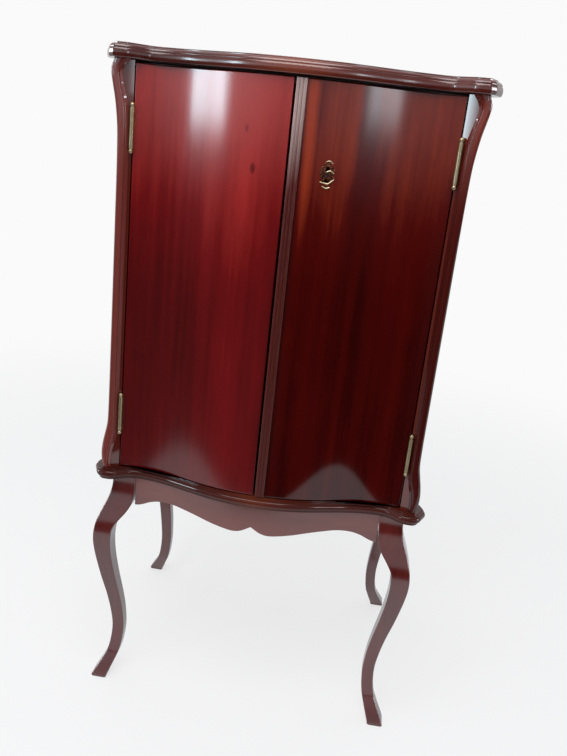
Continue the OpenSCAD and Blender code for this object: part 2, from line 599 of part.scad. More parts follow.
module escutcheon() {
    color(brass) translate([key_x, wave(key_x) - 0.03, z_key]) rotate([0, 0, wave_angle(key_x)])
        rotate([90, 0, 0]) {
            linear_extrude(1.6) escutcheon_outline();
            difference() {
                translate([0, 0, 1.5]) cylinder(r1 = esc_w * 0.27, r2 = esc_w * 0.2, h = 1.1);
                translate([0, 0, 1]) cylinder(d = 4, h = 3);
                translate([-0.9, -7, 1]) cube([1.8, 7, 3]);
            }
            for (s = [-1, 1]) for (q = [[0.3, 0.17, 0.13], [0.26, -0.15, 0.12]])
                translate([s * esc_w * q[0], esc_h * q[1], 1.5]) cylinder(r1 = esc_w * q[2], r2 = esc_w * q[2] * 0.5, h = 0.9);
            for (p = [[0.42, 0.055], [-0.43, 0.048]])
                translate([0, esc_h * p[0], 1.5]) cylinder(r1 = esc_h * p[1], r2 = esc_h * p[1] * 0.5, h = 0.9);
        }
}

// Rim lock let into the back of the right door, its bolt and the strike on the left door
bolt_up = 12;
lb_t = 4.4;
lb_h = 16;
lb_l = 36;
lb_y = plate_y + 1.9;
module lock_case() {
    color(steel) difference() {
        translate([lock_x, lock_y, z_key - lock_h / 2]) cube([lock_w, lock_t, lock_h]);
        translate([lock_x - 1, lb_y - 0.08, z_key - lb_h / 2 - 0.08 + bolt_up])
            cube([lb_l + 1.4, lb_t + 0.16, lb_h + 0.16]);
        translate([key_x, lock_y, z_key]) keyhole(8);
    }
}
module lock_bolt() {
    color(brass) translate([lock_x + 0.2, lb_y, z_key - lb_h / 2 + bolt_up]) cube([lb_l, lb_t, lb_h]);
}
strike_w = 20;
module strike() {
    color(brass) difference() {
        translate([-strike_w - meet - 0.2, plate_y, z_key + bolt_up - 15])
            cube([strike_w, lock_y + lock_t - plate_y, 30]);
        translate([-meet - lock_throw - 1.5, lb_y - 0.5, z_key + bolt_up - lb_h / 2 - 0.5])
            cube([lock_throw + 3, lb_t + 1, lb_h + 1]);
    }
}

// Flush bolts inside the left door: a rod with a knob in two guides on a plate
rod_l = 72;
module bolt_rod() {
    cylinder(d = bolt_d, h = rod_l);
    translate([0, 0, rod_l - 18]) rotate([-90, 0, 0]) {
        cylinder(d = 4, h = bolt_d / 2 + 3);
        translate([0, 0, bolt_d / 2 + 4.4]) sphere(d = 7);
    }
}
module bolt_lower() { color(brass) translate([-bolt_x, bolt_y, door_z0 + 1]) bolt_rod(); }
module bolt_upper() { color(brass) translate([-bolt_x, bolt_y, door_z1 - 1]) mirror([0, 0, 1]) bolt_rod(); }
module bolt_guides(z) {
    translate([-bolt_x, 0, z]) {
        difference() {
            translate([-plate_w / 2, plate_y, -plate_l / 2]) cube([plate_w, 1.6, plate_l]);
            for (e = [-1, 1]) translate([0, plate_y + 1.6 + 0.01, e * (plate_l / 2 - 4.5)])
                rotate([90, 0, 0]) cylinder(d = 2.6, h = 3);
        }
        for (e = [-1, 1]) difference() {
            translate([-bolt_d / 2 - 3, plate_y + 1.5, e * guide_gap / 2 - 4]) cube([bolt_d + 6, bolt_d + 3.1, 8]);
            translate([0, bolt_y, e * guide_gap / 2 - 10]) cylinder(d = bolt_d + 0.1, h = 20);
        }
    }
}
module bolt_guides_upper() { color(brass) bolt_guides(guide_z[1]); }
module bolt_guides_lower() { color(brass) bolt_guides(guide_z[0]); }
module bolt_keepers() {
    color(brass) for (z = [z_base - 1, z_top]) difference() {
        translate([-bolt_x - keeper_w / 2 + fit, bolt_y - keeper_d / 2 + fit, z])
            cube([keeper_w - 2 * fit, keeper_d - 2 * fit, 1]);
        translate([-bolt_x, bolt_y, z - 1]) cylinder(d = bolt_d + 1.2, h = 3);
    }
}

leg_front_left();
leg_front_right();
leg_rear_left();
leg_rear_right();
apron_front();
apron_left();
apron_right();
apron_rear();
glue_blocks();
base_board();
top_board();
side_left();
side_right();
back_panel();
stile_left();
stile_right();
post_left();
post_right();
stop_rail();
top_cleats();
shelf_1();
shelf_2();
shelf_3();
shelf_4();
shelf_5();
cleats_left();
cleats_right();
door_left();
door_right();
astragal();
hinge_upper_left_case();
hinge_lower_left_case();
hinge_upper_right_case();
hinge_lower_right_case();
hinge_upper_left_door();
hinge_lower_left_door();
hinge_upper_right_door();
hinge_lower_right_door();
hinge_pins();
screws_case();
screws_door_left();
screws_door_right();
escutcheon();
lock_case();
lock_bolt();
strike();
bolt_upper();
bolt_lower();
bolt_guides_upper();
bolt_guides_lower();
bolt_keepers();
back_screws();
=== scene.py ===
"""Looks of the bow-front music cabinet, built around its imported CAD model."""
import json
import math

import bmesh
import bpy
from mathutils import Matrix, Vector


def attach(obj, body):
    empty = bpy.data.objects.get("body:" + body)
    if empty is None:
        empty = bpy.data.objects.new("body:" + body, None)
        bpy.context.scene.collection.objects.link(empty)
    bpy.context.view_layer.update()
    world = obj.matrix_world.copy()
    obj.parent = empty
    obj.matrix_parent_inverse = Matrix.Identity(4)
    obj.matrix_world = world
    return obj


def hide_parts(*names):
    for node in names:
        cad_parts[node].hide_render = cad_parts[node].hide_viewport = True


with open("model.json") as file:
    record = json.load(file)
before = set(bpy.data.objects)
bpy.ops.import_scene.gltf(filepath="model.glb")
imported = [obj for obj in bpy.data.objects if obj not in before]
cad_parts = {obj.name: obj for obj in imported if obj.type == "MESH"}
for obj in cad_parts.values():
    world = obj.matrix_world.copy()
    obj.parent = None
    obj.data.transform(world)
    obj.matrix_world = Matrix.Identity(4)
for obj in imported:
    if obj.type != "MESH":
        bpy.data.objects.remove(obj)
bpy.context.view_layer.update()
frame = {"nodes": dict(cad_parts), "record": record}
scene = bpy.context.scene
scene.view_settings.view_transform = "Standard"

# The cabinet's own sizes, in millimetres
MM = 0.001
CASE_W, CASE_H = 505.0, 635.0
HALF_W = CASE_W / 2
SIDE_T, STILE_D = 16.0, 20.0
INNER_W = CASE_W - 2 * SIDE_T
FACE_Y, BACK_Y = -168.5, 203.5
BOW, HOLLOW = 40.0, 2.0
WAVE_X = 0.406 * CASE_W
SHOWN_BOW, WAVE_SKEW = 38.2, 1.17
DOOR_GAP = 1.6
DOOR_T, DOOR_X, MEET = 20.0, INNER_W / 2 - DOOR_GAP, 1.8
ARRIS, ARRIS_STEPS = 1.3, 5
ARRIS_LEVELS = ((1.1, 0.0), (0.45, 0.12), (0.12, 0.45), (0.0, 1.1), (0.0, 2.0))
Z_BASE, Z_TOP, LEG_H = 419.0, 1054.0, 399.0
DOOR_Z0, DOOR_Z1 = Z_BASE + DOOR_GAP, Z_TOP - 4.0
PLATE_DEEP, LOCK_DEEP = 0.3, 4.0
BOLT_X, BOLT_Y = -16.0, FACE_Y + HOLLOW - BOW + DOOR_T + 4.8
KEEPER = (8.0, 6.0, 1.0)
KEEPER_HOLE = (3.3, 3.3, 13.0)
GUIDE_END, GUIDE_HALF = 44.0, (8.1, 38.1)
BASE_T, TOP_T, LIP = 20.0, 21.0, 9.0
EAR_OUT, EAR_FRONT, SIDE_LIP, BACK_LIP = 28.0, 22.0, 12.0, 12.0
HINGE_L, LEAF_T, LEAF_W = 57.0, 1.5, 14.0
Z_HINGES = (Z_BASE + 0.151 * CASE_H, Z_BASE + 0.853 * CASE_H)
KEY_X, Z_KEY = 57.0, Z_BASE + 0.802 * CASE_H
FOOT_SPAN, FOOT_W, HEAD_W, HEAD_IN = 533.6, 27.0, 40.0, 20.0
ANKLE_IN, ANKLE_W, KNEE_OUT = 27.0, 21.0, 3.7
APRON_H, APRON_T = 50.0, 18.0
LEG_FRONT_Y, LEG_REAR_Y = FACE_Y - 18.5, BACK_Y + 6.5
HEAD_X = FOOT_SPAN / 2 - HEAD_IN - HEAD_W
POST_PROUD, POST_W, SWEEP_TOP, SWEEP_LOW = 12.0, 15.5, 16.0, 12.0
SPLAY = 0.62 * POST_PROUD
FRONT_STEPS, EAR_STEPS = 90, 28
SHARP_ANGLE, FLAT_ANGLE = 38.0, 8.0


# Camera: where the photographer stood, and how the camera was held
CAMERA_AT = (0.1299, -1.2870, 0.9718)
CAMERA_YAW, CAMERA_PITCH, CAMERA_ROLL = -0.0942, 0.3097, 0.1090
CAMERA_LENS = 35.70


def place_camera():
    data = bpy.data.cameras.new("camera")
    data.lens = CAMERA_LENS
    data.sensor_width = 36.0
    camera = bpy.data.objects.new("camera", data)
    scene.collection.objects.link(camera)
    level = Vector((math.cos(CAMERA_YAW), -math.sin(CAMERA_YAW), 0))
    ahead = Vector((math.sin(CAMERA_YAW), math.cos(CAMERA_YAW), 0))
    look = ahead * math.cos(CAMERA_PITCH) - Vector((0, 0, math.sin(CAMERA_PITCH)))
    above = ahead * math.sin(CAMERA_PITCH) + Vector((0, 0, math.cos(CAMERA_PITCH)))
    right = level * math.cos(CAMERA_ROLL) + above * math.sin(CAMERA_ROLL)
    up = above * math.cos(CAMERA_ROLL) - level * math.sin(CAMERA_ROLL)
    turn = Matrix((right, up, -look)).transposed().to_4x4()
    camera.matrix_world = Matrix.Translation(CAMERA_AT) @ turn
    scene.camera = camera


place_camera()


class Value:
    """An output of a shader node, which can take part in sums."""

    def __init__(self, shade, link):
        self.shade, self.link = shade, link

    def sum(self, operation, *terms):
        return self.shade.node("ShaderNodeMath", {"operation": operation}, terms)

    def __add__(self, other):
        return self.sum("ADD", self, other)

    def __sub__(self, other):
        return self.sum("SUBTRACT", self, other)

    def __rsub__(self, other):
        return self.sum("SUBTRACT", other, self)

    def __mul__(self, other):
        return self.sum("MULTIPLY", self, other)

    def __truediv__(self, other):
        return self.sum("DIVIDE", self, other)

    def __pow__(self, other):
        return self.sum("POWER", self, other)

    __radd__, __rmul__ = __add__, __mul__

    def rise(self, low, high):
        """0 below low, 1 above high and a smooth rise between."""
        return self.shade.node("ShaderNodeMapRange", {"interpolation_type": "SMOOTHSTEP"},
                               {"Value": self, "From Min": low, "From Max": high})

    def band(self, middle, half):
        """1 at the middle of a band and 0 past its half-width."""
        return 1 - self.sum("ABSOLUTE", self - middle).rise(0.0, half)


class Shade:
    """The nodes of one material or of the world."""

    def __init__(self, tree):
        self.tree = tree
        self.tree.nodes.clear()

    def node(self, kind, settings=None, inputs=(), output=0):
        made = self.tree.nodes.new(kind)
        for key, value in (settings or {}).items():
            if key == "stops":
                ramp = made.color_ramp
                while len(ramp.elements) < len(value):
                    ramp.elements.new(1.0)
                for element, (at, colour) in zip(ramp.elements, value):
                    element.position, element.color = at, (*colour, 1.0)
            else:
                setattr(made, key, value)
        for key, value in (inputs.items() if isinstance(inputs, dict) else enumerate(inputs)):
            socket = made.inputs[key]
            if isinstance(value, Value):
                self.tree.links.new(value.link, socket)
            elif socket.type == "RGBA":
                socket.default_value = (*value, 1.0)
            else:
                socket.default_value = value
        return Value(self, made.outputs[output] if made.outputs else None)

    def mix(self, first, second, share):
        """Colour between first and second."""
        return self.node("ShaderNodeMix", {"data_type": "RGBA"}, {0: share, 6: first, 7: second}, 2)

    def place(self):
        return self.node("ShaderNodeTexCoord", output="Object")

    def axes(self, vector):
        return [self.node("ShaderNodeSeparateXYZ", {}, [vector], i) for i in range(3)]

    def stretch(self, vector, scale, shift=(0, 0, 0)):
        return self.node("ShaderNodeMapping", {}, {"Vector": vector, "Location": shift, "Scale": scale})

    def noise(self, vector, scale=1.0, detail=2.0, rough=0.5):
        return self.node("ShaderNodeTexNoise", {},
                         {"Vector": vector, "Scale": scale, "Detail": detail, "Roughness": rough})


def surface(name, paint):
    """Material whose Principled inputs come from paint(shade)."""
    material = bpy.data.materials.new(name)
    material.use_nodes = True
    shade = Shade(material.node_tree)
    body = shade.node("ShaderNodeBsdfPrincipled", {}, paint(shade))
    shade.node("ShaderNodeOutputMaterial", {}, {"Surface": body})
    return material


def along_grain(grain, across, along):
    return tuple(along if axis == grain else across for axis in "xyz")


def mahogany(name, dark, middle, light, grain="z", seed=0.0, stripe=18.0, gloss=0.1, shine=0.5, figure=1.0,
             ripple=0.2, mottle=0.0, tint=None, dulling=None):
    """Red mahogany under clear varnish.

    grain is the axis that the wood runs along, figure how strongly its stripes show, gloss the
    roughness of the varnish, shine its specular level, ripple how uneven it lies and mottle how
    cloudy the stain is. tint and dulling give what the tone and the roughness gain from place to place.
    """
    def paint(s):
        place = s.place()
        shift = (seed, seed * 1.7, seed * 0.6)
        wander = s.noise(s.stretch(place, along_grain(grain, 6.0, 1.3), shift), 1.0, 2.0)
        broad = s.noise(s.stretch(place, along_grain(grain, stripe, 0.9), shift), 1.0, 2.0, 0.45)
        ribbon = s.noise(s.stretch(place, along_grain(grain, 130.0, 3.0), shift), 1.0, 3.0, 0.5)
        pores = s.noise(s.stretch(place, along_grain(grain, 1500.0, 60.0), shift), 1.0, 2.0).rise(0.6, 0.76)
        tone = ((broad - 0.5) * 0.8 + (ribbon - 0.5) * 0.35 + (wander - 0.5) * 0.7) * figure + 0.45
        if mottle:
            cloud = s.noise(s.stretch(place, along_grain(grain, 30.0, 9.0), shift), 1.0, 4.0, 0.62)
            tone = tone + (cloud - 0.5) * mottle
        if tint:
            tone = tone + tint(s, *s.axes(place))
        colour = s.node("ShaderNodeValToRGB", {"stops": [(0.0, dark), (0.5, middle), (1.0, light)]}, [tone])
        colour = s.mix(colour, tuple(0.4 * c for c in dark), pores * (0.3 * figure))
        bump = s.node("ShaderNodeBump", {}, {"Strength": ripple, "Distance": 0.0001, "Height": ribbon})
        varnish = (ribbon - 0.5) * (0.5 * gloss) + gloss
        if dulling:
            varnish = varnish + dulling(s, *s.axes(place))
        return {"Base Color": colour, "Roughness": varnish, "Normal": bump,
                "Specular IOR Level": shine}
    return surface(name, paint)


def stained(name, dark, light, grain):
    """Plain inside wood with a thin satin stain."""
    def paint(s):
        place = s.place()
        broad = s.noise(s.stretch(place, along_grain(grain, 26.0, 1.2)), 1.0, 3.0, 0.5)
        lines = s.noise(s.stretch(place, along_grain(grain, 320.0, 5.0)), 1.0, 4.0, 0.6)
        pores = s.noise(s.stretch(place, along_grain(grain, 1300.0, 45.0)), 1.0, 2.0).rise(0.55, 0.7)
        tone = broad.rise(0.3, 0.7) * 0.55 + lines.rise(0.3, 0.7) * 0.45
        colour = s.mix(s.mix(dark, light, tone), tuple(0.4 * c for c in dark), pores * 0.5)
        bump = s.node("ShaderNodeBump", {}, {"Strength": 0.4, "Distance": 0.0002, "Height": lines - pores * 0.5})
        return {"Base Color": colour, "Roughness": lines * 0.15 + 0.42, "Normal": bump}
    return surface(name, paint)


def metal(name, bright, dull, rough, wear=60.0):
    """Metal with a patchy tarnish and fine rubbing marks."""
    def paint(s):
        place = s.place()
        patch = s.noise(place, wear, 4.0, 0.6).rise(0.38, 0.68)
        fine = s.noise(s.stretch(place, (700.0, 700.0, 150.0)), 1.0, 3.0, 0.6)
        colour = s.mix(bright, dull, patch * 0.6 + fine * 0.15)
        bump = s.node("ShaderNodeBump", {}, {"Strength": 0.25, "Distance": 0.00008, "Height": fine})
        return {"Base Color": colour, "Metallic": 1.0, "Roughness": patch * 0.16 + fine * 0.1 + rough,
                "Normal": bump}
    return surface(name, paint)


def left_knots_and_painted_top_light(s, x, y, z):
    """Redder towards the free edge, with two small knots, and lighter towards the top as painted light falling
    from above.
    """
    # The rise with z is painted light from above; the rest is the wood's own tone.
    tone_and_painted_top_light = x.rise(-0.17, -0.02) * 0.16 - 0.27 + z.rise(0.69, 1.04) * 0.74
    for knot_x, knot_z, size in ((-0.062, 0.978, 0.0045), (-0.049, 0.925, 0.005)):
        across, up = (x - knot_x) / size, (z - knot_z) / (size * 1.9)
        tone_and_painted_top_light = tone_and_painted_top_light - (1 - (across * across + up * up).rise(0.0, 1.0)) * 0.5
    return tone_and_painted_top_light


def right_streaks_and_painted_top_light(s, x, y, z):
    """Orange-brown heartwood by the bead at the top, and the door lighter at the top and darker below as painted
    light falling from above.
    """
    # top lifts the whole door's tone towards its top: painted light from above.
    top = z.rise(0.74, 1.0)
    return (x.band(0.026, 0.014) * (top * 0.45 + 0.12) + x.band(0.085, 0.016) * top * 0.2
            + top * (x.rise(0.14, 0.23) * 0.08 + 0.34) - 0.20 + x.band(0.112, 0.012) * (1 - top) * 0.2)


def right_dulling(s, x, y, z):
    """Varnish polished below and duller above."""
    return z.rise(0.55, 0.85) * 0.07


def bead_painted_top_sheen(s, x, y, z):
    """Paler at the top: a painted reflection."""
    return z.rise(0.84, 1.05) * 0.72 - 0.08


def bow_middle_painted_reflection(s, x, y, z):
    """Warmer and lighter at the middle of the bow: a painted warm reflection."""
    return x.band(0.0, 0.09) * 0.4 - 0.2


def post_painted_head_light(s, x, y, z):
    """Lighter at the head: painted light falling from above."""
    return z.rise(0.82, 1.02) * 0.35


# EMBER and BLOOD, for the right door and post, are darker than CHERRY and TAWNY on the left partly as painted
# shade, the light falling from the left, and partly as wood of another tone.
CHERRY = ((0.050, 0.0014, 0.0020), (0.155, 0.0034, 0.0042), (0.360, 0.0200, 0.0170))
EMBER = ((0.024, 0.0006, 0.0005), (0.080, 0.0025, 0.0016), (0.300, 0.0310, 0.0090))
BROWNED = ((0.040, 0.0050, 0.0040), (0.110, 0.0150, 0.0090), (0.210, 0.0400, 0.0180))
RAIL = ((0.065, 0.0120, 0.0095), (0.160, 0.0310, 0.0240), (0.260, 0.0600, 0.0400))
ORANGE = ((0.045, 0.0065, 0.0045), (0.120, 0.0170, 0.0100), (0.230, 0.0460, 0.0190))
DARK = ((0.028, 0.0035, 0.0022), (0.085, 0.0125, 0.0065), (0.220, 0.0500, 0.0160))
TAWNY = ((0.072, 0.0130, 0.0110), (0.200, 0.0390, 0.0310), (0.330, 0.0850, 0.0560))
BLOOD = ((0.026, 0.0025, 0.0022), (0.080, 0.0085, 0.0060), (0.230, 0.0340, 0.0200))
# The pale end of the bead's ramp is the colour of a painted reflection.
BEAD_WOOD_AND_PAINTED_SHEEN = ((0.045, 0.0060, 0.0040), (0.095, 0.0125, 0.0085), (0.400, 0.2700, 0.2500))
SIDE = ((0.035, 0.0040, 0.0030), (0.095, 0.0110, 0.0070), (0.170, 0.0270, 0.0140))
LEG = ((0.036, 0.0036, 0.0032), (0.098, 0.0096, 0.0078), (0.190, 0.0230, 0.0140))
wood_left = mahogany("left_door_mahogany", *CHERRY, seed=1.3, gloss=0.13, shine=0.7, mottle=0.3,
                     tint=left_knots_and_painted_top_light)
wood_right = mahogany("right_door_mahogany", *EMBER, seed=4.1, stripe=24.0, gloss=0.055, shine=0.52, mottle=0.35,
                      tint=right_streaks_and_painted_top_light, dulling=right_dulling)
wood_post_left = mahogany("left_post_mahogany", *TAWNY, seed=2.2, stripe=40.0, gloss=0.08, shine=0.8, figure=0.7)
wood_post_right = mahogany("right_post_mahogany", *BLOOD, seed=6.2, stripe=40.0, gloss=0.08, shine=0.6, figure=0.7,
                           tint=post_painted_head_light)
wood_stile = mahogany("stile_mahogany", *BROWNED, seed=8.3, stripe=40.0, gloss=0.03, shine=0.82, figure=0.4,
                      ripple=0.0)
wood_bead = mahogany("bead_mahogany", *BEAD_WOOD_AND_PAINTED_SHEEN, seed=7.0, stripe=120.0, gloss=0.3, shine=0.3, figure=0.6,
                     tint=bead_painted_top_sheen)
wood_rail = mahogany("rail_mahogany", *RAIL, grain="x", seed=5.2, stripe=40.0, gloss=0.14, shine=1.0,
                     figure=0.6)
wood_base = mahogany("base_mahogany", *DARK, grain="x", seed=1.9, stripe=30.0, gloss=0.06, shine=0.28, figure=0.7,
                     tint=bow_middle_painted_reflection)
wood_top = mahogany("top_mahogany", *ORANGE, grain="x", seed=3.7, stripe=30.0, gloss=0.17, shine=0.9, figure=0.8,
                    tint=bow_middle_painted_reflection)
wood_side = mahogany("side_mahogany", *SIDE, seed=9.4, stripe=16.0)
wood_rail_side = mahogany("side_rail_mahogany", *SIDE, grain="y", seed=3.0, stripe=40.0, figure=0.5)
wood_leg = mahogany("leg_mahogany", *LEG, seed=6.6, stripe=40.0, gloss=0.16, shine=1.0, figure=0.6)
wood_inside = stained("inside_wood", (0.16, 0.062, 0.027), (0.30, 0.14, 0.065), "x")
wood_back = stained("back_wood", (0.10, 0.038, 0.018), (0.20, 0.085, 0.04), "z")
wood_cleat = stained("cleat_wood", (0.15, 0.06, 0.027), (0.27, 0.125, 0.06), "y")
brass = metal("aged_brass", (0.54, 0.44, 0.27), (0.26, 0.19, 0.10), 0.26, wear=30.0)
brass_plate = metal("keyhole_brass", (0.19, 0.060, 0.034), (0.07, 0.016, 0.010), 0.12, wear=90.0)
brass_rubbed = metal("rubbed_brass", (1.0, 0.87, 0.60), (0.90, 0.72, 0.42), 0.2, wear=90.0)
steel = metal("dull_steel", (0.42, 0.41, 0.39), (0.17, 0.15, 0.13), 0.34)


def even_shading(piece):
    """Large faces keep their own normal beside small roundings."""
    weigh = piece.modifiers.new("even shading", "WEIGHTED_NORMAL")
    weigh.keep_sharp = True


def to_piece(name, bm, material, body="case", stands_for=(), sharp=SHARP_ANGLE):
    """Object from a mesh in millimetres, riding on a body, with smooth shading up to the angle sharp."""
    bmesh.ops.scale(bm, vec=(MM, MM, MM), verts=bm.verts)
    bmesh.ops.recalc_face_normals(bm, faces=bm.faces)
    mesh = bpy.data.meshes.new(name)
    bm.to_mesh(mesh)
    bm.free()
    mesh.materials.append(material)
    mesh.shade_smooth()
    mesh.set_sharp_from_angle(angle=math.radians(sharp))
    piece = bpy.data.objects.new(name, mesh)
    scene.collection.objects.link(piece)
    even_shading(piece)
    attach(piece, body)
    if stands_for:
        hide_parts(*stands_for)
    return piece


def cap(bm, edges):
    bmesh.ops.contextual_create(bm, geom=edges)


def loft(bm, rings, closed=False):
    """Skin drawn from ring to ring by extruding the first; the ends are capped unless closed."""
    ring = [bm.verts.new(point) for point in rings[0]]
    count = len(ring)
    edges = [bm.edges.new((ring[i], ring[(i + 1) % count])) for i in range(count)]
    start = list(edges)
    for points in rings[1:]:
        made = bmesh.ops.extrude_edge_only(bm, edges=edges)["geom"]
        fresh = {part for part in made if isinstance(part, bmesh.types.BMVert)}
        ring = [next(e.other_vert(v) for e in v.link_edges if e.other_vert(v) in fresh) for v in ring]
        edges = [part for part in made if isinstance(part, bmesh.types.BMEdge)
                 and part.verts[0] in fresh and part.verts[1] in fresh]
        for vert, point in zip(ring, points):
            vert.co = point
    if closed:
        bmesh.ops.bridge_loops(bm, edges=edges + start)
    else:
        cap(bm, start)
        cap(bm, edges)


def blend_knots(knots, at):
    """Smooth value at a position, through knots of (position, value)."""
    last = len(knots) - 1
    i = 0
    while i < last - 1 and at > knots[i + 1][0]:
        i += 1

    def slope(k):
        if k in (0, last):
            return 0.0
        return (knots[k + 1][1] - knots[k - 1][1]) / (knots[k + 1][0] - knots[k - 1][0])
    span = knots[i + 1][0] - knots[i][0]
    u = (at - knots[i][0]) / span
    return ((2 * u**3 - 3 * u**2 + 1) * knots[i][1] + (u**3 - 2 * u**2 + u) * span * slope(i)
            + (3 * u**2 - 2 * u**3) * knots[i + 1][1] + (u**3 - u**2) * span * slope(i + 1))


def bezier(a, b, c, d, u):
    return tuple(p * (1 - u)**3 + q * 3 * u * (1 - u)**2 + r * 3 * u**2 * (1 - u) + s * u**3
                 for p, q, r, s in zip(a, b, c, d))


def inset(outline, distance):
    """Closed outline moved inwards; it runs anticlockwise."""
    moved = []
    count = len(outline)
    for i, here in enumerate(outline):
        here = Vector(here)
        a = (here - Vector(outline[i - 1])).normalized()
        b = (Vector(outline[(i + 1) % count]) - here).normalized()
        na, nb = Vector((-a.y, a.x)), Vector((-b.y, b.x))
        moved.append(here + (na + nb) * distance / (1 + na.dot(nb)))
    return moved


def rounded(corners, steps=4):
    """Outline whose corners (x, y, radius) are rounded off."""
    outline = []
    count = len(corners)
    for i, (x, y, radius) in enumerate(corners):
        here = Vector((x, y))
        if radius <= 0:
            outline.append(here)
            continue
        before = (Vector(corners[i - 1][:2]) - here).normalized() * radius + here
        after = (Vector(corners[(i + 1) % count][:2]) - here).normalized() * radius + here
        for k in range(steps + 1):
            u = k / steps
            outline.append(before * (1 - u)**2 + here * 2 * u * (1 - u) + after * u**2)
    return outline


def plain_wave(x):
    """Serpentine line of the CAD model."""
    return FACE_Y + HOLLOW - BOW * (1 + math.cos(math.pi * x / WAVE_X)) / 2


def wave(x):
    """Serpentine front line, steepest towards the foot of the bow."""
    share = abs(x) / WAVE_X
    if share >= 1:
        return plain_wave(x)
    return FACE_Y + HOLLOW - SHOWN_BOW * (1 + math.cos(math.pi * share**WAVE_SKEW)) / 2


def wave_angle(x):
    return math.atan(wave(x + 0.5) - wave(x - 0.5))


def board_line(x, lip, dip):
    """Front line of a board: the doors' wave with a lip, of which the share dip is left in the hollows."""
    return wave(x) - lip * (1 + dip + (1 - dip) * math.cos(math.pi * x / WAVE_X)) / 2


# Where the front line of a board turns out to its ear, and the curve's pull at each end
EAR_RUN, EAR_LEAD, EAR_PULL, EAR_START = 46.0, 14.0, 18.0, 3.0
# Depths behind the case's face of the points that shape the side of an ear
EAR_TIP_Y, EAR_WAIST_Y, EAR_TAIL_Y, EAR_STOP_Y = 10.0, 28.0, 34.0, 62.0
# How far a rounded tip draws back, and how far it pulls the side with it
TIP_BACK, TIP_PULL = (0.42, 0.91), (0.55, 2.3)
REAR_CORNER = 2.5


def board_outline(lip, dip, ear_x, ear_y, side_x, soft, ease):
    """Corners (x, y, radius) of a board, anticlockwise from the middle of the front.

    soft rounds the two front corners of each ear and ease the one at its side.
    """
    edge, tip, side = HALF_W - EAR_RUN, HALF_W + ear_x, HALF_W + side_x
    edge_y = board_line(edge, lip, dip)
    half = []
    for i in range(FRONT_STEPS + 1):
        x = edge * i / FRONT_STEPS
        half.append((x, board_line(x, lip, dip), 0.0))
    turn_out = ((edge, edge_y), (edge + EAR_LEAD, edge_y), (HALF_W - EAR_PULL, ear_y), (HALF_W - EAR_START, ear_y))
    half += [(*bezier(*turn_out, i / EAR_STEPS), 0.0) for i in range(1, EAR_STEPS + 1)]
    half += [(HALF_W + 0.3 * ear_x, ear_y, soft), (HALF_W + 0.6 * ear_x, ear_y + 0.3 * EAR_FRONT, soft)]
    turn_in = ((tip - TIP_BACK[0] * ease, FACE_Y + EAR_TIP_Y - TIP_BACK[1] * ease),
               (tip + TIP_PULL[0] * ease, FACE_Y + EAR_WAIST_Y - TIP_PULL[1] * ease),
               (side, FACE_Y + EAR_TAIL_Y), (side, FACE_Y + EAR_STOP_Y))
    half += [(*bezier(*turn_in, i / EAR_STEPS), 0.0) for i in range(EAR_STEPS + 1)]
    half += [(side, BACK_Y + BACK_LIP, REAR_CORNER)]
    return half + [(-x, y, radius) for x, y, radius in reversed(half[1:])]


# Share by which a corner's rounding shrinks for each millimetre in, so that the cap stays free of folds
ROUND_LOSS = 0.06


def board(name, corners, profile, z0, material, node):
    """Board with a moulded edge; profile lists (distance in, height)."""
    bm = bmesh.new()
    rings = []
    for depth, up in profile:
        moved = inset([corner[:2] for corner in corners], depth)
        plan = rounded([(p.x, p.y, corner[2] * (1 - ROUND_LOSS * depth))
                        for p, corner in zip(moved, corners)])
        rings.append([(q.x, q.y, z0 + up) for q in plan])
    loft(bm, rings)
    return to_piece(name, bm, material, stands_for=(node,))


def arc(middle, radius_in, radius_up, start, stop, steps):
    """Part of an ellipse in a profile, from angle start to stop in degrees."""
    angles = [math.radians(start + (stop - start) * k / steps) for k in range(steps + 1)]
    return [(middle[0] - radius_in * math.cos(a), middle[1] + radius_up * math.sin(a)) for a in angles]


# Straight parts of the base board's edge, as (distance in, height), below and above its bead
BASE_FOOT = [(5.9, 0.0), (5.2, 0.2), (5.0, 0.7), (5.0, 4.0), (4.8, 4.3)]
BASE_HEAD = [(3.5, 15.2), (3.4, 15.6), (3.4, 17.2), (3.6, 17.5), (5.4, 17.6), (5.6, 17.9), (5.6, 19.3),
             (5.8, 19.8), (6.5, 20.0)]
BEAD_ANGLE, BEAD_IN, BEAD_FOOT = 62, 4.6, 4.4


